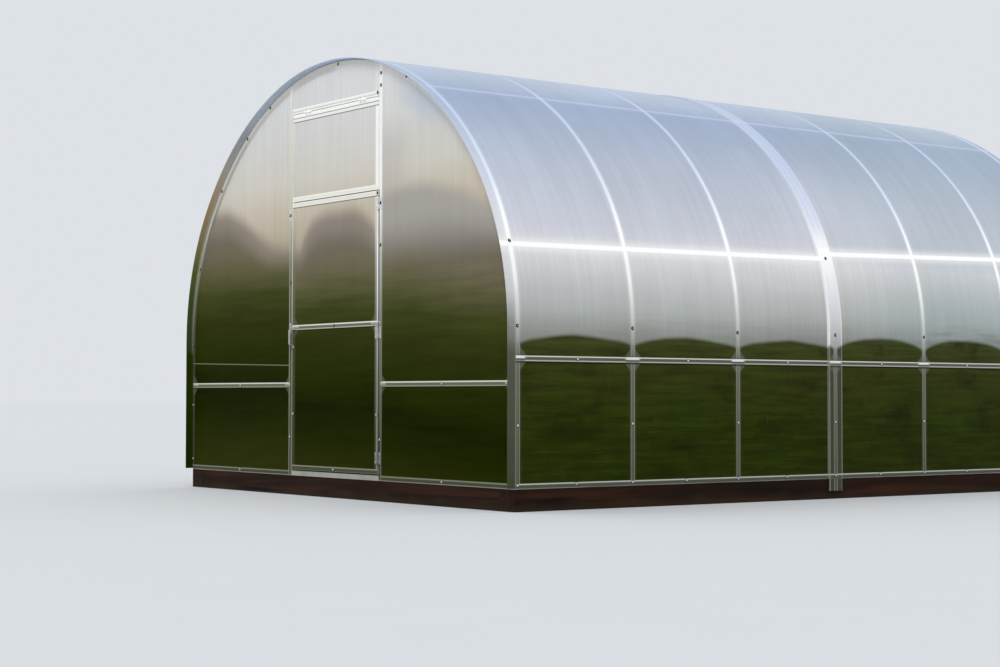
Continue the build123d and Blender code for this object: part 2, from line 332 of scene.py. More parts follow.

# Tones of the left lip, the overlap and the right lip of the roof sheets, painted reflections and
# highlights
LEFT_LIP_TONES = [
    (0.10, (28, 40, 0)), (0.70, (38, 51, 0)), (0.85, (46, 60, 2)),
    (1.05, (62, 78, 18)), (1.22, (100, 104, 44)), (1.43, (156, 142, 98)),
    (1.64, (188, 165, 132)), (1.76, (184, 173, 160)), (1.90, (154, 160, 166)),
    (2.05, (175, 188, 203)),
]
LAP_TONES = [
    (0.70, (150, 152, 140)), (0.88, (214, 215, 218)), (1.05, (240, 241, 248)),
    (1.20, (255, 255, 255)), (1.40, (220, 228, 246)), (1.70, (198, 210, 236)),
    (2.10, (186, 202, 232)),
]
LIP_TONES = [
    (0.10, (70, 74, 58)), (0.70, (90, 93, 82)), (0.84, (146, 148, 144)),
    (0.98, (218, 220, 222)), (1.20, (238, 239, 242)), (1.60, (210, 217, 232)),
    (1.85, (184, 199, 224)), (2.10, (186, 204, 230)),
]

# Tones of the tubes that show through, painted lit above and shaded below and lighter on the right post
# than the left, and of the bars' painted edge highlights and shadows
TUBE_TONES = [
    (0.10, (88, 92, 76)), (0.40, (100, 103, 90)), (0.70, (112, 115, 104)),
    (0.84, (190, 192, 188)), (1.05, (244, 245, 244)), (1.20, (255, 255, 255)),
    (1.32, (250, 251, 254)), (1.50, (222, 230, 246)), (1.75, (200, 214, 238)),
    (2.10, (190, 208, 236)),
]
RIGHT_POST_TONES = [
    (0.10, (64, 68, 46)), (0.30, (70, 74, 50)), (0.75, (118, 120, 108)),
    (1.20, (184, 185, 177)), (1.45, (252, 252, 250)), (2.10, (255, 255, 255)),
]
BAR_TONES = [
    (0.10, (70, 74, 54)), (0.60, (104, 108, 86)), (0.90, (108, 111, 88)),
    (1.35, (214, 212, 198)), (1.55, (246, 244, 234)), (2.10, (246, 246, 240)),
]
BAR_HIGHLIGHT_TONES = [
    (0.10, (120, 122, 104)), (0.60, (214, 215, 208)), (0.90, (226, 227, 222)),
    (1.35, (250, 249, 242)), (2.10, (255, 255, 252)),
]
BAR_SHADOW_TONES = [
    (0.10, (14, 18, 2)), (0.90, (22, 26, 6)), (1.35, (100, 96, 80)),
    (2.10, (110, 108, 98)),
]
LEFT_POST_TONES = [
    (0.10, (68, 72, 50)), (0.30, (72, 76, 54)), (0.75, (80, 84, 60)),
    (1.20, (116, 116, 96)), (1.45, (196, 194, 176)), (1.75, (214, 213, 199)),
    (2.10, (230, 230, 222)),
]

# The timber's tones from its dark grain to its worn ridges, each at a share from 0 to 1
TIMBER_STOPS = [(0.18, (14, 8, 4)), (0.40, (34, 17, 8)), (0.58, (56, 31, 17)), (0.80, (84, 60, 42))]


def arch_tilt(height):
    """How far the arch leans inwards at a height, as an angle."""
    if height <= SPRING_Z:
        return 0.0
    if height <= SHOULDER_END_Z:
        return math.asin((height - SPRING_Z) / SHOULDER_RADIUS)
    return math.asin((height - CROWN_CENTRE_Z) / CROWN_RADIUS)


def sheet_stop(height):
    """The height on the sheet over a rail, and how much of it a length along the arch takes up."""
    tilt = arch_tilt(height)
    return height + SHEET_OFFSET * math.sin(tilt), math.cos(tilt)


def arch_distance(g, side):
    """How far a point of the gable lies outside the arch line, negative inside it."""
    to_leg = side - HALF_SPAN
    above = g.z - SPRING_Z
    reach = g.math("SQRT", (side - SHOULDER_X) * (side - SHOULDER_X) + above * above)
    to_shoulder = reach - SHOULDER_RADIUS
    rise = g.z - CROWN_CENTRE_Z
    to_crown = g.math("SQRT", side * side + rise * rise) - CROWN_RADIUS
    turned = rise * math.cos(SHOULDER_TURN) - side * math.sin(SHOULDER_TURN)
    in_crown = g.math("GREATER_THAN", turned, 0.0)
    in_bend = g.math("GREATER_THAN", above, 0.0)
    distance = to_leg + (to_shoulder - to_leg) * in_bend
    return distance + (to_crown - distance) * in_crown


def glare_distance(g, on_back_sheet):
    """How far a point lies from the glare over the middle purlin, measured along the sheet."""
    middle_stop, middle_share = sheet_stop(MIDDLE_PURLIN_Z)
    front_shift = g.y * FRONT_GLARE_SLOPE
    back_shift = g.scaled(g.y, BACK_GLARE_SLOPE, BACK_GLARE_STEP)
    shift = front_shift + (back_shift - front_shift) * on_back_sheet
    return abs(g.z - shift - middle_stop) / middle_share


def brightness(g, at, streaks, band, band_depth, patch, patch_depth):
    """How bright a sheet is, close to 1: streaks along its flutes, wider bands and large patches."""
    strength = (at.streak - 0.5) * g.scaled(at.sky_reflection, *streaks) + 1.0
    strength = strength * g.scaled(band, band_depth, 1 - band_depth / 2)
    return strength * g.scaled(patch, patch_depth, 1 - patch_depth / 2)


def sheet_surface(g, at, across, **values):
    """A sheet's finished surface, with the relief of its flutes; across runs over them."""
    flute = g.math("SINE", across * (2 * math.pi / FLUTE))
    normal = g.bump(flute * 0.35 + at.streak, 0.0006, 0.5)
    return g.surface(Base_Color=g.colour, Coat_Roughness=0.16, Normal=normal, **values)


class RoofFields:
    """Numbers over the roof sheets: where a point lies, where the painted sky reflection lies over the
    painted dark one, and which tubes get painted highlights there.
    """

    def __init__(self, g):
        bay = (g.y - FIRST_ARCH_Y) / PITCH
        self.to_arch = abs(g.math("FRACT", bay + 0.5) - 0.5) * PITCH
        self.over_lower = g.z - LOWER_RAIL_Z
        self.over_base = g.z - BASE_RAIL_Z
        self.height = g.height_share()
        self.left = g.fade(g.x, -0.4, 0.0, 1, 0)
        self.lip = g.fade(g.y, GABLE_Y, GABLE_Y + LIP_FADE, 1, 0)
        self.off_lip = g.rest(self.lip)
        self.lap = g.inside(abs(g.y - LAP_MIDDLE_Y), LAP_HALF - 0.002, 0.002)
        self.on_back_sheet = g.math("GREATER_THAN", g.y, LAP_LOW_Y)
        self.streak = g.noise(g.place(g.y * 95, g.z * 1.1, g.x * 1.1), 1.0, 5, 0.7)
        self.over_edge = g.z - self.reflection_edge(g, bay)
        self.sky_reflection = g.fade(self.over_edge, -0.012, 0.014)
        self.low = g.rest(self.sky_reflection)
        self.add_bright_tubes(g)

    def reflection_edge(self, g, bay):
        """The height of the painted dark reflection's wavy edge, which hangs lower at each arch."""
        from_middle = abs(g.math("FRACT", bay) * 2 - 1)
        tent = g.math("POWER", from_middle, self.on_back_sheet * 1.2 + 1.2)
        dip = tent * EDGE_DIP + g.math("POWER", from_middle, 9.0) * EDGE_POINT_DIP
        wave = g.noise(g.place(g.y * 2.1, 0.0, 0.0), 1.0, 3)
        rise = g.rest(tent) * self.on_back_sheet * BACK_EDGE_RISE
        return rise - dip + (wave - 0.5) * EDGE_WAVE + REFLECTION_EDGE_Z

    def add_bright_tubes(self, g):
        """Masks of painted highlights: arches in the sky reflection, lines along the rails, arms of the
        clamps and the core of the glare.
        """
        high_arch_highlight = g.fade(self.to_arch, 0.007, 0.015, 1, 0) * self.sky_reflection
        high_arch_highlight = high_arch_highlight * g.fade(g.z, 1.4, 2.1, 1, 0.75)
        self.high_arch_highlight = high_arch_highlight * g.rest(self.lap * 0.7)
        self.rail_highlights = g.largest(
            g.line(self.over_lower, HALF_TUBE - 0.003, 0.0014) * 0.9,
            g.line(self.over_lower, 0.003 - HALF_TUBE, 0.0016) * 0.5,
            g.line(self.over_base, HALF_TUBE - 0.003, 0.0018) * 0.6,
        )
        self.near_arch = g.inside(self.to_arch, CLAMP_REACH - 0.02, 0.022) * self.off_lip
        self.arm = g.line(self.over_lower, 0.006, 0.004, 0.004) * self.near_arch
        self.to_glare = glare_distance(g, self.on_back_sheet)
        wide_core = g.inside(self.to_glare, 0.02, 0.06) * self.lap
        self.core = g.largest(g.inside(self.to_glare, HALF_TUBE - 0.004, 0.008), wide_core)


def roof_sky_reflection(g, at, ripple):
    """The painted sky reflection of the upper part, cooler on the back sheet, with a painted dark
    reflection just over the dark lower part there.
    """
    tone = g.tone(at.height + (ripple - 0.5) * 0.025, SIDE_SKY_REFLECTION)
    cool_reflection = g.fade(g.y, 0.0, 0.9) * g.fade(g.z, 0.85, 1.25, 0.36, 0.22)
    tone = g.tint(tone, cool_reflection, (152, 178, 182))
    mirrored = g.fade(at.over_edge, 0.02, 0.10, 1, 0) * g.fade(g.y, 0.2, 0.9)
    return g.tint(tone, mirrored * g.fade(ripple, 0.35, 0.65) * 0.5, (104, 106, 90))


def roof_dark_reflection(g, at, ripple):
    """The painted dark reflection of the lower part, done as a green film with growth in clouds, level
    ripples, fine lines and drips.
    """
    growth = g.noise(g.place(g.y * 2.4, g.z * 4, 0.0), 1.0, 4, 0.6)
    fine_ripple = g.noise(g.place(g.y * 7, g.z * 120, 0.0), 1.0, 2)
    fine_lines = g.fade(fine_ripple, 0.58, 0.74) * g.fade(growth, 0.42, 0.55)
    drip = g.noise(g.place(g.y * 45, g.z * 4, 0.0), 1.0, 3)
    tone = g.tone(at.height, SIDE_DARK_REFLECTION)
    tone = g.tint(tone, g.fade(growth, 0.5, 0.72) * 0.5, (40, 60, 2))
    tone = g.tint(tone, g.fade(growth, 0.48, 0.3) * 0.65, (20, 27, 2))
    tone = g.scale_colour(tone, g.fade(ripple, 0.3, 0.7, 0.76, 1.24))
    tone = g.tint(tone, fine_lines * 0.05, (124, 130, 92))
    return g.tint(tone, g.fade(drip, 0.68, 0.78) * 0.08, (140, 148, 108))


def paint_lap_and_lip(g, at):
    """The overlap of the two sheets, and the lip that stands out before the gable, both painted with
    reflections and highlights.
    """
    lap_reflection = g.mix(at.sky_reflection, linear((74, 75, 64)), g.tone(at.height, LAP_TONES))
    g.paint(at.lap * g.scaled(at.sky_reflection, 0.15, 0.7), lap_reflection)
    lip_tone = g.mix(at.left, g.tone(at.height, LIP_TONES), g.tone(at.height, LEFT_LIP_TONES))
    g.paint(at.lip * g.scaled(at.left, 0.2, 0.8), lip_tone)


def paint_roof_arches(g, at):
    """Arches and the webs of their clamps, seen through the sheet, with a painted glow around each arch,
    painted highlights along its edges and tones painted lit above and shaded below.
    """
    lit_tube_tone = g.tone(at.height, TUBE_TONES)
    tube_glow = g.fade(at.to_arch, 0.010, 0.030, 1, 0) * g.rest(at.lap)
    g.paint(tube_glow * g.scaled(at.sky_reflection, 0.3, 0.12), lit_tube_tone)
    corner = g.inside(at.to_arch + abs(at.over_lower), CLAMP_CORNER - 0.003, 0.004)
    reach = g.inside(g.largest(at.to_arch, abs(at.over_lower)), CLAMP_REACH, 0.002)
    g.paint(corner * reach * at.off_lip * 0.5, (106, 110, 98))
    low_arch = g.inside(at.to_arch, HALF_TUBE - 0.002, 0.003) * at.low
    g.paint(low_arch * 0.85, lit_tube_tone)
    arch_edge_highlight = g.line(at.to_arch, HALF_TUBE - 0.002, 0.0010, 0.0015) * at.low
    g.paint(arch_edge_highlight * 0.5, (158, 161, 150))
    g.paint(at.high_arch_highlight, lit_tube_tone)


def paint_roof_rails(g, at):
    """Upper purlin, lower rail and base rail, and the arms of the clamps on the lower rail: the upper
    purlin tinted with the painted sky reflection, painted highlights along the rails and on the arms, and
    a painted shadow under the lower rail.
    """
    upper_stop, upper_share = sheet_stop(UPPER_PURLIN_Z)
    to_upper = abs(g.z - upper_stop) / upper_share
    upper_tube = g.inside(to_upper, HALF_TUBE - 0.004, 0.006) * at.off_lip
    g.paint(upper_tube * 0.6, (204, 217, 240))
    rail = g.inside(abs(at.over_lower), HALF_TUBE, 0.002) * at.off_lip
    g.paint(rail * 0.9, (92, 95, 82))
    base = g.inside(abs(at.over_base), HALF_TUBE, 0.002) * at.off_lip
    g.paint(base * 0.9, (84, 86, 74))
    g.paint(at.rail_highlights * at.off_lip, (218, 220, 214))
    shadow = g.line(at.over_lower, -HALF_TUBE - 0.004, 0.0025) * at.off_lip
    g.paint(shadow * 0.7, (14, 18, 4))
    clamp = g.line(at.over_lower, 0.0, HALF_TUBE + 0.003) * at.near_arch
    g.paint(clamp * 0.5, (60, 62, 52))
    g.paint(at.arm * 0.75, (240, 241, 240))


def paint_glare(g, at):
    """The glare over the middle purlin, wider on the overlap, and painted highlights along the edges of
    the overlap.
    """
    glow = g.largest(g.inside(at.to_glare, 0.008, 0.06), g.inside(at.to_glare, 0.05, 0.14) * at.lap)
    glare = g.largest(glow * glow * 0.7, at.core) * g.rest(at.lip * at.left)
    g.paint(glare, (255, 255, 255))
    lap_edge = g.inside(abs(g.y - LAP_LOW_Y), 0.006, 0.004)
    lap_end = g.inside(abs(g.y - LAP_HIGH_Y), 0.002, 0.003)
    highlight_tone = g.mix(g.fade(g.z, 1.3, 1.6), linear((255, 255, 255)), linear((222, 230, 246)))
    g.paint(g.largest(lap_edge, lap_end * 0.7) * at.sky_reflection * 0.85, highlight_tone)
    g.paint(g.largest(lap_edge, lap_end) * at.low * 0.5, (150, 153, 142))


def roof_opacity(g, at):
    """Clearer in the painted sky reflection, and denser over painted highlights, the glare and the
    overlap.
    """
    opacity = g.scaled(at.sky_reflection, -0.20, 0.94) + (at.streak - 0.5) * at.sky_reflection * 0.12
    opacity = opacity + at.lip * at.left * at.low * 0.05
    left_lip = g.fade(g.z, 1.5, 2.0, 0.19, -0.05)
    opacity = opacity + at.lip * at.sky_reflection * g.scaled(at.left, left_lip, -0.05)
    bright = g.largest(at.high_arch_highlight, at.core, at.arm, at.rail_highlights * 0.6, at.lap * at.sky_reflection * 0.6)
    return opacity + bright * 0.2


def roof_sheet_material():
    """Twin-wall sheet over the arches, its flutes running round the house."""
    g = Graph("roof_sheet")
    at = RoofFields(g)
    ripple = g.noise(g.place(g.y * 2.6, g.z * 30, 0.0), 1.0, 4, 0.6)
    band = g.noise(g.place(g.y * 14, g.z * 0.8, g.x * 0.8), 1.0, 2)
    patch = g.noise(g.coordinates, 1.6, 3)
    painted_reflection = g.mix(at.sky_reflection, roof_dark_reflection(g, at, ripple), roof_sky_reflection(g, at, ripple))
    g.colour = g.scale_colour(painted_reflection, brightness(g, at, (0.12, 0.04), band, 0.14, patch, 0.24))
    paint_lap_and_lip(g, at)
    paint_roof_arches(g, at)
    paint_roof_rails(g, at)
    paint_glare(g, at)
    return sheet_surface(
        g, at, g.y,
        Alpha=roof_opacity(g, at),
        Roughness=0.32,
        IOR=1.25,
        Specular_IOR_Level=0.1,
        Coat_Weight=at.sky_reflection * 0.4,
    )


class GableFields:
    """Numbers over the gable sheets: which panel a point lies in, where the painted sky reflection lies,
    and the tubes' tone, painted lighter on the right than on the left.
    """

    def __init__(self, g):
        self.side = abs(g.x)
        self.outer = g.fade(self.side, POST_X, POST_X + 0.002)
        self.inner = g.rest(self.outer)
        self.left = g.fade(g.x, -0.06, 0.06, 1, 0)
        self.right = g.rest(self.left)
        self.low = g.fade(g.z, 1.0, 1.2, 1, 0)
        self.to_edge = arch_distance(g, self.side)
        self.height = g.height_share()
        self.streak = g.noise(g.place(g.x * 85, g.y * 1.2, g.z * 0.9), 1.0, 5, 0.7)
        self.cloud = g.noise(g.place(g.x * 2.2, 0.0, g.z * 1.6), 1.0, 3)
        self.over_crest = g.z - self.crest(g) + (self.cloud - 0.5) * 0.08
        self.sky_reflection = g.fade(self.over_crest, -0.055, 0.055)
        self.post = g.inside(abs(self.side - POST_X), HALF_TUBE, 0.002)
        left_tone = g.tone(self.height, LEFT_POST_TONES)
        self.lit_tube_tone = g.mix(self.right, left_tone, g.tone(self.height, RIGHT_POST_TONES))

    def crest(self, g):
        """The height of the soft crest of the painted dark reflection: one curve in the door, one in each
        panel.
        """
        door = g.math("POWER", abs(g.x - DOOR_CREST_X), 4.0) * -DOOR_CREST_FALL + DOOR_CREST_Z
        door = g.largest(door, DOOR_CREST_LOW_Z)
        left = g.fade(self.side, 0.5, 1.15) * LEFT_CREST_RISE + LEFT_CREST_Z
        right = g.math("POWER", abs(g.x - RIGHT_CREST_X), 2.0) * -RIGHT_CREST_FALL + RIGHT_CREST_Z
        panels = left + (right - left) * self.right
        return door + (panels - door) * self.outer


def gable_reflections(g, at):
    """Painted reflections: a dark green one below, grey and brown under the crest, paler in the right
    panel, and a milky sky reflection above it.
    """
    ripple = g.noise(g.place(g.x * 1.9, 0.0, g.z * 26), 1.0, 4, 0.6)
    height = at.height + (at.cloud - 0.5) * 0.05 + (ripple - 0.5) * 0.02
    height = height + (g.fade(g.x, 0.45, 1.3, 0.06, 0.095) * at.right - 0.045) * at.outer
    painted_reflection = g.tone(height, GABLE_DARK_REFLECTION)
    under_crest = g.fade(at.over_crest, -0.20, -0.02) * g.fade(g.z, 1.12, 1.28)
    painted_reflection = g.tint(painted_reflection, under_crest * 0.6, (156, 146, 134))
    pale_reflection = at.right * at.outer * g.fade(g.z, 1.12, 1.4)
    painted_reflection = g.tint(painted_reflection, pale_reflection * 0.75, (174, 171, 164))
    painted_reflection = g.scale_colour(painted_reflection, g.scaled(ripple - 0.5, 0.8, 1.0) * at.low + g.rest(at.low))
    return g.mix(at.sky_reflection, painted_reflection, g.tone(at.height, GABLE_SKY_REFLECTION))


def paint_sky(g, at):
    """A painted cool sky reflection under the right shoulder, and a painted duller reflection beside the
    door.
    """
    sky = g.inside(abs(at.to_edge + 0.05), 0.04, 0.09) * g.fade(g.z, 1.7, 1.95) * g.fade(g.x, 0.45, 0.8)
    g.paint(sky * 0.5, (178, 192, 214))
    dull_reflection = g.inside(abs(g.z - DULL_REFLECTION_Z), 0.1, 0.2) * g.fade(g.x, 0.45, 0.8, 1, 0)
    g.paint(dull_reflection * at.right * at.outer * 0.25, (140, 138, 134))


def paint_gable_arch(g, at):
    """The end arch through the sheet: a soft rim, a painted highlight on the crown, a low leg, a thin
    painted highlight along the left edge and a painted shade inside it.
    """
    rim = g.fade(at.to_edge, -HALF_TUBE - 0.012, HALF_TUBE)
    g.paint(rim * 0.45, at.lit_tube_tone)
    crown_highlight = g.fade(at.to_edge, -HALF_TUBE - 0.010, -HALF_TUBE - 0.003) * g.fade(g.z, 1.4, 1.9)
    g.paint(crown_highlight * 0.75, (240, 236, 222))
    leg = g.inside(abs(at.to_edge), HALF_TUBE, 0.002) * at.low
    g.paint(leg * 0.7, at.lit_tube_tone)
    left_edge_highlight = g.line(at.to_edge, 0.002, 0.010, 0.005) * at.left * g.fade(g.z, 0.95, 1.15)
    highlight_tone = g.mix(g.fade(g.z, 1.0, 1.75), linear((116, 119, 90)), linear((240, 236, 228)))
    g.paint(left_edge_highlight * 0.9, highlight_tone)
    shade = g.line(at.to_edge, -HALF_TUBE - 0.010, 0.006, 0.014) * at.left * g.fade(g.z, 1.2, 1.4)
    g.paint(shade * g.fade(g.z, 1.8, 2.0, 0.45, 0.25), (116, 113, 106))


def gable_clamps(g, at):
    """A mask of the clamps' webs, and one of the painted highlights on their arms."""
    webs = []
    arm_highlights = []
    for place, height, area in (
        (POST_X, GABLE_RAIL_Z, at.outer),
        (HALF_SPAN, GABLE_RAIL_Z, at.outer),
        (STILE_X, LEAF_BAR_Z, at.inner),
    ):
        across = abs(at.side - place)
        along = abs(g.z - height)
        corner = g.inside(across + along, CLAMP_CORNER - 0.003, 0.004)
        webs.append(corner * g.inside(g.largest(across, along), CLAMP_REACH, 0.002) * area)
        near = g.inside(across, CLAMP_REACH, 0.005)
        arm_highlights.append(g.line(g.z, height + 0.004, 0.005, 0.004) * near * area)
    return g.largest(*webs), g.largest(*arm_highlights)


def gable_uprights(g, at):
    """A mask of the posts and the door's stiles, the left one fainter low down."""
    stile = g.inside(abs(at.side - STILE_X), HALF_TUBE, 0.002)
    stile = stile * g.fade(g.z, LINTEL_Z - 0.03, LINTEL_Z - 0.02, 1, 0)
    faint = at.left * g.fade(g.z, 1.1, 1.5, 1, 0.3)
    return g.largest(at.post, stile * g.scaled(faint, -0.5, 1.0))


def paint_uprights(g, at, upright):
    """Posts and stiles, with a painted glow, painted highlights and shaded edges, and painted shade in the
    dark gap of the hinge side.
    """
    tube_glow = g.inside(abs(at.side - DOOR_SIDE_X), DOOR_SIDE_HALF, 0.014)
    g.paint(tube_glow * 0.3, at.lit_tube_tone)
    g.paint(upright * 0.92, at.lit_tube_tone)
    post_edge_highlight = g.line(abs(at.side - POST_X), HALF_TUBE - 0.002, 0.0012)
    g.paint(post_edge_highlight * 0.35, (236, 236, 228))
    hinge_side = g.fade(g.z, LEAF_HIGH_BAR_Z, LEAF_HIGH_BAR_Z + 0.02, 1, 0) * at.right
    stile_edge = g.line(at.side, STILE_X - 0.006, 0.005)
    shaded_edges = g.largest(stile_edge, g.line(at.side, POST_X + 0.008, 0.003))
    stile_edge_highlight = g.line(at.side, STILE_X + 0.005, 0.0035)
    gap_shade = g.line(at.side, DOOR_SIDE_X + 0.002, 0.0045)
    for mask, strength, low_z, high_z, low_tone, high_tone in (
        (shaded_edges, 0.7, 0.9, 1.5, (84, 86, 72), (212, 212, 208)),
        (stile_edge_highlight, 0.85, 0.5, 1.2, (146, 148, 142), (246, 246, 246)),
        (gap_shade, 0.9, 0.9, 1.5, (36, 40, 26), (70, 70, 70)),
    ):
        tone = g.mix(g.fade(g.z, low_z, high_z), linear(low_tone), linear(high_tone))
        g.paint(mask * hinge_side * strength, tone)


def paint_gable_bars(g, at):
    """Rails and bars, painted lit above and shaded low down, with painted highlights along both edges and
    a thin painted shadow under each and one in the vent's head. It returns their mask.
    """
    off_post = g.rest(at.post)
    within = at.inner * off_post
    bars = []
    bar_highlights = []
    shadows = []
    for height, half, area in (
        (BASE_RAIL_Z, HALF_TUBE, off_post),
        (GABLE_RAIL_Z, HALF_TUBE, at.outer * off_post),
        (LEAF_LOW_BAR_Z, HALF_TUBE, within),
        (LEAF_BAR_Z, HALF_TUBE, within),
        (LEAF_HIGH_BAR_Z, HALF_TUBE, within),
        (VENT_LOW_BAR_Z, HALF_TUBE, within),
        (LINTEL_Z, HALF_TUBE, within),
        (VENT_HEAD_Z, VENT_HEAD_HALF, within),
    ):
        bars.append(g.line(g.z, height, half) * area)
        bar_highlights.append(g.line(g.z, height + half - 0.003, 0.0022) * area)
        low_highlight = g.line(g.z, height - half + 0.003, 0.0018) * area
        bar_highlights.append(low_highlight * g.fade(g.z, 0.6, 1.2, 0.3, 0.8))
        shadows.append(g.line(g.z, height - half - 0.002, 0.0020, 0.0015) * area)
    head_shadow = g.line(g.z, VENT_HEAD_Z - 0.002, 0.0014, 0.0015) * at.inner * off_post
    shadows.append(head_shadow)
    bar = g.largest(*bars)
    g.paint(bar * 0.9, g.tone(at.height, BAR_TONES))
    g.paint(g.largest(*bar_highlights) * 0.9, g.tone(at.height, BAR_HIGHLIGHT_TONES))
    g.paint(g.largest(*shadows) * 0.8, g.tone(at.height, BAR_SHADOW_TONES))
    return bar


def paint_far_rail(g, at):
    """The rail of the far wall, a faint painted highlight line on the left panel."""
    height = (at.side - POST_X) * FAR_RAIL_SLOPE + FAR_RAIL_Z
    rail = g.line(g.z - height, 0.0, 0.001, 0.003) * at.left * at.outer * g.rest(at.post)
    g.paint(rail * 0.3, (190, 192, 170))


def gable_sheet_material():
    """Twin-wall sheet on the gables, its flutes upright."""
    g = Graph("gable_sheet")
    at = GableFields(g)
    web, arm = gable_clamps(g, at)
    upright = gable_uprights(g, at)
    band = g.noise(g.place(g.x * 13, g.y, g.z * 0.7), 1.0, 2)
    patch = g.noise(g.coordinates, 1.5, 3)
    g.colour = gable_reflections(g, at)
    paint_sky(g, at)
    g.colour = g.scale_colour(g.colour, brightness(g, at, (0.08, 0.06), band, 0.1, patch, 0.16))
    paint_gable_arch(g, at)
    g.paint(web * 0.4, (104, 108, 92))
    paint_uprights(g, at, upright)
    bar = paint_gable_bars(g, at)
    # Painted highlight along the clamps' arms
    g.paint(arm * 0.25, (236, 237, 234))
    paint_far_rail(g, at)
    opacity = g.scaled(at.sky_reflection, -0.19, 0.97) + (at.streak - 0.5) * at.sky_reflection * 0.1
    return sheet_surface(
        g, at, g.x,
        Alpha=opacity + g.largest(upright, bar, arm) * 0.1,
        Roughness=0.3,
        IOR=1.2,
        Specular_IOR_Level=g.scaled(at.sky_reflection, 0.08, 0.02),
        Coat_Weight=at.sky_reflection * 0.3,
    )


def steel_material(name, tone, dark_tone, roughness, metal, seam_shade=0.0):
    """Zinc-coated steel with a fine spangle, water marks, rounded edges and painted shade in the door's
    seam.
    """
    g = Graph(name)
    spangle = g.cells(g.coordinates, 140)
    mottle = g.noise(g.coordinates, 9, 4)
    stain = g.noise(g.coordinates, 2.3, 3)
    low = g.fade(g.z, 0.4, 1.5, 1, 0)
    factor = low * 0.85 + (mottle - 0.5) * 0.3 + (stain - 0.5) * 0.3
    colour = g.mix(factor, linear(tone), linear(dark_tone))
    colour = g.scale_colour(colour, g.scaled(spangle, 0.25, 0.9))
    seam_height = g.inside(abs(g.z - LEAF_BAR_Z), LEAF_HIGH_BAR_Z - LEAF_BAR_Z, 0.02)
    seam = g.line(g.x, SEAM_X, 0.005) * seam_height
    colour = g.tint(colour, seam * seam_shade, (48, 49, 42))
    rough = g.scaled(mottle, 0.25, roughness - 0.12)
    normal = g.bump(mottle + spangle * 0.3, 0.0003, 0.4, Normal=g.rounded(0.0022))
    return g.surface(Base_Color=colour, Metallic=metal, Roughness=rough, Normal=normal)


def timber_material(name, along):
    """Dark weathered softwood; along is the axis of its grain."""
    g = Graph(name)
    stretch = {"x": (1.2, 22, 22), "y": (22, 1.2, 22)}[along]
    place = g.place(g.x * stretch[0], g.y * stretch[1], g.z * stretch[2])
    grain = g.noise(place, 1.0, 6, 0.62)
    ring = g.noise(place, 0.35, 2)
    bands = g.math("SINE", ring * 42)
    crack = g.fade(g.noise(place, 0.8, 2), 0.30, 0.36, 1, 0)
    tone = g.ramp(grain * 0.75 + bands * 0.06, TIMBER_STOPS)
    soil_edge = g.z + (g.noise(g.coordinates, 6, 4) - 0.5) * 0.08
    tone = g.tint(tone, g.fade(soil_edge, 0.0, 0.05, 1, 0) * 0.6, (44, 36, 24))
    tone = g.tint(tone, crack * 0.85, (10, 6, 4))
    relief = g.bump(grain + bands * 0.1 - crack * 0.8, 0.002, 0.7)
    return g.surface(Base_Color=tone, Roughness=0.85, Specular_IOR_Level=0.12, Normal=relief)


def plain_material(name, tone, dark_tone, roughness, metal, scale):
    """A small fitting's surface, mottled between two tones."""
    g = Graph(name)
    mottle = g.noise(g.coordinates, scale, 4)
    return g.surface(
        Base_Color=g.mix(mottle, linear(tone), linear(dark_tone)),
        Metallic=metal,
        Roughness=g.scaled(mottle, 0.2, roughness - 0.1),
        Specular_IOR_Level=0.2,
        Normal=g.bump(mottle, 0.0002, 0.3),
    )


def arch_point(height, offset):
    """The point outside the arch line, and the outward direction, at a height on the right side."""
    if height <= SPRING_Z:
        return Vector((HALF_SPAN + offset, 0, height)), Vector((1, 0, 0))
    if height <= SHOULDER_END_Z:
        centre = Vector((SHOULDER_X, 0, SPRING_Z))
        radius = SHOULDER_RADIUS
    else:
        centre = Vector((0, 0, CROWN_CENTRE_Z))
        radius = CROWN_RADIUS
    tilt = arch_tilt(height)
    outward = Vector((math.cos(tilt), 0, math.sin(tilt)))
    return centre + outward * (radius + offset), outward


def add_ring_solid(builder, rings, sides, place, material_index=0):
    """A turned solid of rings, each a radius and a height along the solid's Z, closed at both ends."""
    loops = []
    for radius, height in rings:
        loop = []
        for index in range(sides):
            angle = 2 * math.pi * index / sides
            point = place @ Vector((radius * math.cos(angle), radius * math.sin(angle), height))
            loop.append(builder.verts.new(point))
        loops.append(loop)
    faces = [builder.faces.new(list(reversed(loops[0]))), builder.faces.new(loops[-1])]
    for low, high in zip(loops, loops[1:]):
        for index in range(sides):
            after = (index + 1) % sides
            faces.append(builder.faces.new((low[index], low[after], high[after], high[index])))
    for face in faces:
        face.material_index = material_index


random.seed(7)


def random_spin():
    return random.uniform(0, math.pi)


def facing(point, outward, spin):
    """A place at a point whose Z looks outward, spun about it."""
    turn = outward.to_track_quat("Z", "Y").to_matrix().to_4x4()
    return Matrix.Translation(point) @ turn @ Matrix.Rotation(spin, 4, "Z")


def make_piece(name, builder, materials, body):
    """A finished mesh from a builder, riding on a body."""
    mesh = bpy.data.meshes.new(name)
    builder.to_mesh(mesh)
    builder.free()
    for material in materials:
        mesh.materials.append(material)
    piece = bpy.data.objects.new(name, mesh)
    bpy.context.scene.collection.objects.link(piece)
    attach(piece, body)


# Sides of the small solids' rings
HEXAGON = 6
BOLT_END_SIDES = 8
SMALL_HEAD_SIDES = 10
BOLT_WASHER_SIDES = 12
WASHER_SIDES = 16

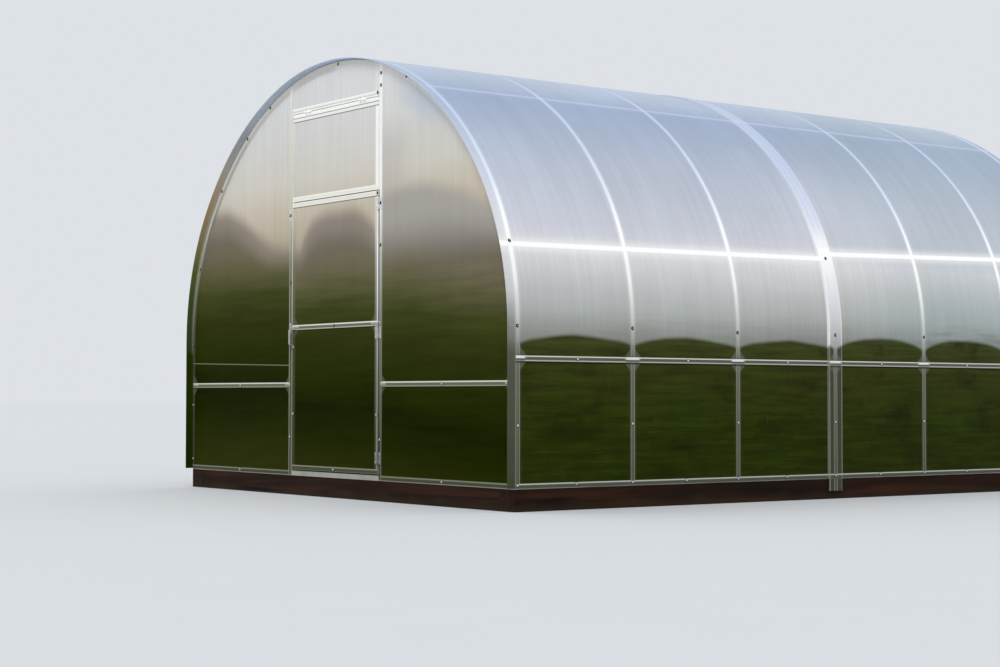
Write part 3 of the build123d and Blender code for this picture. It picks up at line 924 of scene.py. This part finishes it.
# Roofing screws: a rubber washer, a cup over it and a hexagonal steel head, of these two materials.
# The cups are bare steel up to a height and blackened above it.
RUBBER = 0
STEEL = 1
WASHER_RINGS = ((0.0080, 0.0), (0.0085, 0.0009), (0.0074, 0.0018))
CUP_RINGS = ((0.0060, 0.0018), (0.0055, 0.0023), (0.0044, 0.0026))
HEAD_RINGS = ((0.0031, 0.0026), (0.0031, 0.0050), (0.0024, 0.0056))
BARE_CUP_HEIGHT = 0.75


def add_roofing_screw(builder, point, outward):
    place = facing(point, outward, random_spin())
    cup_material = STEEL if point.z < BARE_CUP_HEIGHT else RUBBER
    add_ring_solid(builder, WASHER_RINGS, WASHER_SIDES, place, RUBBER)
    add_ring_solid(builder, CUP_RINGS, WASHER_SIDES, place, cup_material)
    add_ring_solid(builder, HEAD_RINGS, HEXAGON, place, STEEL)


# Small round-headed screws of hinges, latches and the handle
SMALL_HEAD_RINGS = ((0.0034, 0.0), (0.0032, 0.0010), (0.0022, 0.0019), (0.0008, 0.0022))


def add_small_screw(builder, point, outward):
    place = facing(point, outward, random_spin())
    add_ring_solid(builder, SMALL_HEAD_RINGS, SMALL_HEAD_SIDES, place)


# Bolts through the webs of the clamps: a hexagonal head one side, a washer and a nut the other.
# CLAMP_WEB is half the web's thickness.
WASHER_THICKNESS = 0.001
NUT_THICKNESS = 0.0042
BOLT_HEAD_RINGS = ((0.0048, 0.0), (0.0048, 0.0034), (0.0040, 0.0040))
BOLT_NUT_RINGS = ((0.0050, 0.0), (0.0050, NUT_THICKNESS))
BOLT_WASHER_RINGS = ((0.0064, 0.0), (0.0064, WASHER_THICKNESS))
BOLT_END_RINGS = ((0.0025, 0.0), (0.0025, 0.0035), (0.0018, 0.0043))
CLAMP_WEB = 0.0015
BOLT_OFFSET = 0.0235


def add_bolt(builder, point, outward):
    """A bolt whose head looks outward and whose nut looks inward, through a web centred on the point."""
    spin = random_spin()
    head = facing(point + outward * CLAMP_WEB, outward, spin)
    add_ring_solid(builder, BOLT_HEAD_RINGS, HEXAGON, head)
    back = facing(point - outward * CLAMP_WEB, -outward, spin)
    add_ring_solid(builder, BOLT_WASHER_RINGS, BOLT_WASHER_SIDES, back)
    nut = back @ Matrix.Translation((0, 0, WASHER_THICKNESS))
    add_ring_solid(builder, BOLT_NUT_RINGS, HEXAGON, nut)
    end = nut @ Matrix.Translation((0, 0, NUT_THICKNESS))
    add_ring_solid(builder, BOLT_END_RINGS, BOLT_END_SIDES, end)


def lap_lift(y):
    """How far the outer sheet of the overlap lies over the inner one."""
    return SHEET + SHEET_GAP if LAP_LOW_Y < y < LAP_HIGH_Y else 0.0


def both_sides(point, outward):
    """A place on the right side of the house and its mirror image on the left."""
    yield point, outward
    yield Vector((-point.x, point.y, point.z)), Vector((-outward.x, outward.y, outward.z))


def both_gables(x, y, z):
    """A place on the door's gable and its mirror image on the back one."""
    for end in (1, -1):
        yield Vector((x, end * y, z)), Vector((0, -end, 0))


# Heights of the screws that hold the roof sheets: on every arch, by the purlin on three arches, and
# along the rails. Screws stray a little from their marks, those in the base rail only along it.
ARCH_SCREW_HEIGHTS = (0.118, 0.385, 0.822)
PURLIN_SCREW_HEIGHT = 1.2
RAIL_SCREW_HEIGHTS = (0.118, LOWER_RAIL_Z)
BASE_SCREWS_TOP = 0.2
HEIGHT_STRAY = 0.004
ARCH_STRAY = 0.003
RAIL_STRAY = 0.01


def stray(reach):
    return random.uniform(-reach, reach)


def make_roof_screws(materials):
    builder = bmesh.new()
    for index in range(BAY_COUNT + 1):
        y = FIRST_ARCH_Y + index * PITCH
        heights = ARCH_SCREW_HEIGHTS
        if index in (0, BAY_COUNT // 2, BAY_COUNT):
            heights = heights + (PURLIN_SCREW_HEIGHT,)
        for height in heights:
            if height > BASE_SCREWS_TOP:
                height = height + stray(HEIGHT_STRAY)
            point, outward = arch_point(height, SHEET_OFFSET + lap_lift(y))
            point.y = y + stray(ARCH_STRAY)
            for place, direction in both_sides(point, outward):
                add_roofing_screw(builder, place, direction)
    for index in range(BAY_COUNT):
        y = FIRST_ARCH_Y + (index + 0.5) * PITCH
        for height in RAIL_SCREW_HEIGHTS:
            point, outward = arch_point(height, SHEET_OFFSET)
            point.y = y + stray(RAIL_STRAY)
            for place, direction in both_sides(point, outward):
                add_roofing_screw(builder, place, direction)
    make_piece("roof_screws", builder, materials, "house")


# Door hinges, latches and handle, as in the model. Roofing screws hold the plates at PLATED_HEIGHT.
HINGE_AXIS_X = 0.41
HINGE_HEIGHTS = (0.21, 0.82, 1.45)
HINGE_SCREW_X = 0.017
HINGE_SCREW_RISE = 0.019
HINGE_FACE_Y = SHEET_FACE_Y - 0.002
LATCH_HEIGHTS = (0.86, 1.45)
LATCH_SCREW_RISE = 0.021
PLATED_HEIGHT = 1.45
HANDLE_MIDDLE = 0.815
HANDLE_SCREW_RISE = 0.049
HANDLE_FACE_Y = SHEET_FACE_Y - 0.003
VENT_HINGE_X = 0.26
VENT_HINGE_Z = 1.975
VENT_HINGE_SCREW_X = 0.02
VENT_HINGE_SCREW_RISE = 0.008
VENT_HINGE_FACE_Y = GABLE_Y - 0.002

# Screws of the gable: heights along the arch and uprights, then single places on the bars and crown
GABLE_ARCH_HEIGHTS = (0.16, 0.46, 0.80, 1.22, 1.64, 1.90, 2.04)
POST_SCREW_X = 0.426
RIGHT_POST_HEIGHTS = (0.30, 1.245, 2.025, 2.085)
LEFT_POST_HEIGHTS = (0.30, 1.10)
PANEL_SCREW_X = 0.95
PANEL_SCREW_HEIGHTS = (GABLE_RAIL_Z, BASE_RAIL_Z + 0.002)
LINTEL_SCREW = (0.397, LINTEL_Z + 0.004)
CROWN_SCREW = (0.03, CROWN_TOP - 0.001)


def make_gable_screws(materials):
    """Screws of the gable panels on the arch, uprights, rails and base, in both gables."""
    builder = bmesh.new()
    spots = []
    for height in GABLE_ARCH_HEIGHTS:
        point, _ = arch_point(height, 0.0)
        spots.append((point.x, point.z))
    spots += [(PANEL_SCREW_X, height) for height in PANEL_SCREW_HEIGHTS]
    spots += [(-x, z) for x, z in spots]
    spots += [(POST_SCREW_X, height) for height in RIGHT_POST_HEIGHTS]
    spots += [(-POST_SCREW_X, height) for height in LEFT_POST_HEIGHTS]
    spots += [LINTEL_SCREW, CROWN_SCREW]
    places = [(x, SHEET_FACE_Y, z) for x, z in spots]
    places += [(x, HINGE_FACE_Y, PLATED_HEIGHT) for x in (-POST_X, HINGE_AXIS_X + HINGE_SCREW_X)]
    for place in places:
        for point, direction in both_gables(*place):
            add_roofing_screw(builder, point, direction)
    make_piece("gable_screws", builder, materials, "house")


# Screws of the door leaf: on both stiles, on its bars and in its top corner
STILE_SCREW_HEIGHT = 0.42
LEAF_SCREW_SPOTS = (
    (-STILE_X, STILE_SCREW_HEIGHT), (STILE_X, STILE_SCREW_HEIGHT),
    (0.0, LEAF_BAR_Z), (0.0, LEAF_LOW_BAR_Z), (STILE_X + 0.002, LEAF_HIGH_BAR_Z),
)


def make_leaf_screws(materials):
    """Screws of the door leaf, and of the fixed leaf in the back gable."""
    for name, body, end in (("leaf_screws", "door_leaf", 1), ("back_leaf_screws", "house", -1)):
        builder = bmesh.new()
        for x, z in LEAF_SCREW_SPOTS:
            point = Vector((x, end * SHEET_FACE_Y, z))
            add_roofing_screw(builder, point, Vector((0, -end, 0)))
        make_piece(name, builder, materials, body)


def make_clamp_bolts(materials):
    """Four bolts in the webs of each cross clamp, or two where the gable cuts it, then the gables' own."""
    builder = bmesh.new()
    for height in (LOWER_RAIL_Z, MIDDLE_PURLIN_Z, UPPER_PURLIN_Z):
        centre, outward = arch_point(height, 0.0)
        upward = Vector((-outward.z, 0, outward.x))
        for index in range(BAY_COUNT + 1):
            y = FIRST_ARCH_Y + index * PITCH
            for along in (1, -1):
                if abs(y + along * BOLT_OFFSET) > abs(GABLE_Y):
                    continue
                for across in (1, -1):
                    point = centre + upward * (across * BOLT_OFFSET)
                    point.y = y + along * BOLT_OFFSET
                    for place, direction in both_sides(point, outward):
                        add_bolt(builder, place, direction)
    for x, arm in ((POST_X, 1), (HALF_SPAN, -1)):
        for across in (1, -1):
            for side in (1, -1):
                z = GABLE_RAIL_Z + across * BOLT_OFFSET
                for point, direction in both_gables(side * (x + arm * BOLT_OFFSET), FIRST_ARCH_Y, z):
                    add_bolt(builder, point, direction)
    make_piece("clamp_bolts", builder, materials, "house")


def make_leaf_bolts(materials):
    """Two bolts in each clamp of the leaf's middle bar, for the door and the back gable's leaf."""
    for name, body, end in (("leaf_bolts", "door_leaf", 1), ("back_leaf_bolts", "house", -1)):
        builder = bmesh.new()
        for side in (1, -1):
            for across in (1, -1):
                z = LEAF_BAR_Z + across * BOLT_OFFSET
                point = Vector((side * (STILE_X - BOLT_OFFSET), end * FIRST_ARCH_Y, z))
                add_bolt(builder, point, Vector((0, -end, 0)))
        make_piece(name, builder, materials, body)


def make_fitting_screws(materials):
    """Small screws of the hinges, latches and handle. The back gable's are all fixed to the house."""
    fixed = []
    moving = []
    for height in HINGE_HEIGHTS:
        for rise in (HINGE_SCREW_RISE, -HINGE_SCREW_RISE):
            fixed.append((HINGE_AXIS_X + HINGE_SCREW_X, HINGE_FACE_Y, height + rise))
            moving.append((HINGE_AXIS_X - HINGE_SCREW_X, HINGE_FACE_Y, height + rise))
    for rise in (LATCH_SCREW_RISE, -LATCH_SCREW_RISE):
        for height in LATCH_HEIGHTS:
            fixed.append((-POST_X, HINGE_FACE_Y, height + rise))
    for side in (1, -1):
        for across in (1, -1):
            x = side * (VENT_HINGE_X + across * VENT_HINGE_SCREW_X)
            for rise in (VENT_HINGE_SCREW_RISE, -VENT_HINGE_SCREW_RISE):
                fixed.append((x, VENT_HINGE_FACE_Y, VENT_HINGE_Z + rise))
    for rise in (HANDLE_SCREW_RISE, -HANDLE_SCREW_RISE):
        moving.append((-STILE_X, HANDLE_FACE_Y, HANDLE_MIDDLE + rise))
    builder = bmesh.new()
    for x, y, z in fixed:
        add_small_screw(builder, Vector((x, y, z)), Vector((0, -1, 0)))
    for x, y, z in fixed + moving:
        add_small_screw(builder, Vector((x, -y, z)), Vector((0, 1, 0)))
    make_piece("fitting_screws", builder, materials, "house")
    builder = bmesh.new()
    for x, y, z in moving:
        add_small_screw(builder, Vector((x, y, z)), Vector((0, -1, 0)))
    make_piece("leaf_fitting_screws", builder, materials, "door_leaf")


# Backdrop, floor and lamps. A lamp has a place, a strength and a spread in degrees.
FLOOR_TONE = (208, 212, 216)
BACKDROP_TONE = (222, 226, 231)
FLOOR_REACH = 120
WORLD_STRENGTH = 0.72
KEY_LAMP = ((9, -9, 10), 1.5, 30)
FILL_LAMP = ((-10, -5, 9), 0.5, 60)

# How many see-through surfaces a ray may pass
CLEAR_BOUNCES = 24


def make_floor():
    g = Graph("pale_floor")
    speckle = g.noise(g.coordinates, 3, 3)
    colour = g.scale_colour(linear(FLOOR_TONE)[:3], g.scaled(speckle, 0.02, 0.99))
    material = g.surface(Base_Color=colour, Roughness=0.9, Specular_IOR_Level=0.1)
    mesh = bpy.data.meshes.new("floor")
    reach = FLOOR_REACH
    corners = [(-reach, -reach, 0), (reach, -reach, 0), (reach, reach, 0), (-reach, reach, 0)]
    mesh.from_pydata(corners, [], [(0, 1, 2, 3)])
    mesh.materials.append(material)
    floor = bpy.data.objects.new("floor", mesh)
    bpy.context.scene.collection.objects.link(floor)


def make_world():
    """Even white light, while the camera, reflections and clear sheets see the backdrop's own tone."""
    world = bpy.data.worlds.new("studio")
    bpy.context.scene.world = world
    world.use_nodes = True
    tree = world.node_tree
    tree.nodes.clear()
    light = add_node(tree, "Background", {"Color": (1.0, 1.0, 1.0, 1.0), "Strength": WORLD_STRENGTH})
    shown = add_node(tree, "Background", {"Color": linear(BACKDROP_TONE)})
    seen = add_node(tree, "LightPath", {}, "Is Camera Ray")
    rays = seen.node.outputs
    for ray in ("Is Glossy Ray", "Is Transmission Ray"):
        seen = add_node(tree, "Math", {0: seen, 1: rays[ray]}, operation="MAXIMUM")
    add_node(tree, "OutputWorld", {"Surface": add_node(tree, "MixShader", {0: seen, 1: light, 2: shown})})


def make_sun(name, place, strength, spread):
    """A soft far lamp that shines from a place towards the house."""
    data = bpy.data.lights.new(name, "SUN")
    data.energy = strength
    data.angle = math.radians(spread)
    lamp = bpy.data.objects.new(name, data)
    lamp.rotation_euler = (-Vector(place)).to_track_quat("-Z", "Y").to_euler()
    bpy.context.scene.collection.objects.link(lamp)


def make_camera():
    """The camera at its place, turned by its yaw, pitch and roll."""
    forward = Vector((
        math.sin(CAMERA_YAW) * math.cos(CAMERA_PITCH),
        math.cos(CAMERA_YAW) * math.cos(CAMERA_PITCH),
        math.sin(CAMERA_PITCH),
    ))
    right = Vector((math.cos(CAMERA_YAW), -math.sin(CAMERA_YAW), 0))
    up = right.cross(forward)
    cosine = math.cos(CAMERA_ROLL)
    sine = math.sin(CAMERA_ROLL)
    rolled_right = right * cosine + up * sine
    rolled_up = up * cosine - right * sine
    data = bpy.data.cameras.new("camera")
    data.sensor_fit = "HORIZONTAL"
    data.sensor_width = SENSOR_WIDTH
    data.lens = SENSOR_WIDTH * FOCAL_PIXELS / IMAGE_WIDTH
    camera = bpy.data.objects.new("camera", data)
    turn = Matrix((rolled_right, rolled_up, -forward)).transposed().to_4x4()
    camera.matrix_world = Matrix.Translation(CAMERA_PLACE) @ turn
    bpy.context.scene.collection.objects.link(camera)
    bpy.context.scene.camera = camera


make_camera()
make_world()
make_floor()
make_sun("key", *KEY_LAMP)
make_sun("fill", *FILL_LAMP)

tube_steel = steel_material("zinc_tube", (240, 240, 236), (122, 124, 112), 0.5, 0.12, seam_shade=0.9)
clamp_steel = steel_material("zinc_clamp", (214, 215, 212), (74, 77, 66), 0.5, 0.15)
# The vent hinges' steel is painted lighter, as a highlight
highlight_steel = steel_material("zinc_highlight", (252, 252, 250), (206, 207, 202), 0.45, 0.05)
rubber = plain_material("washer_rubber", (20, 20, 21), (8, 8, 9), 0.8, 0.0, 300)
screw_steel = plain_material("screw_steel", (222, 224, 226), (150, 152, 152), 0.35, 0.35, 400)

make_roof_screws([rubber, screw_steel])
make_gable_screws([rubber, screw_steel])
make_leaf_screws([rubber, screw_steel])
make_clamp_bolts([screw_steel])
make_leaf_bolts([screw_steel])
make_fitting_screws([screw_steel])

for part in frame["record"]["subparts"]:
    if part["material_slot"] == "galvanised_steel":
        assign(tube_steel, part["node"])
    elif part["material_slot"] == "clamp_steel":
        assign(clamp_steel, part["node"])
assign(highlight_steel, "vent_hinges")
assign(roof_sheet_material(), "roof_sheet_front", "roof_sheet_back")
gable_sheet = gable_sheet_material()
assign(gable_sheet, "front_panel_right", "front_panel_left", "front_panel_top")
assign(gable_sheet, "door_panel", "vent_panel", "back_panels")
assign(timber_material("timber_along", "y"), "side_timbers")
assign(timber_material("timber_across", "x"), "end_timbers")

scene = bpy.context.scene
scene.view_settings.view_transform = "Standard"
scene.cycles.transparent_max_bounces = CLEAR_BOUNCES
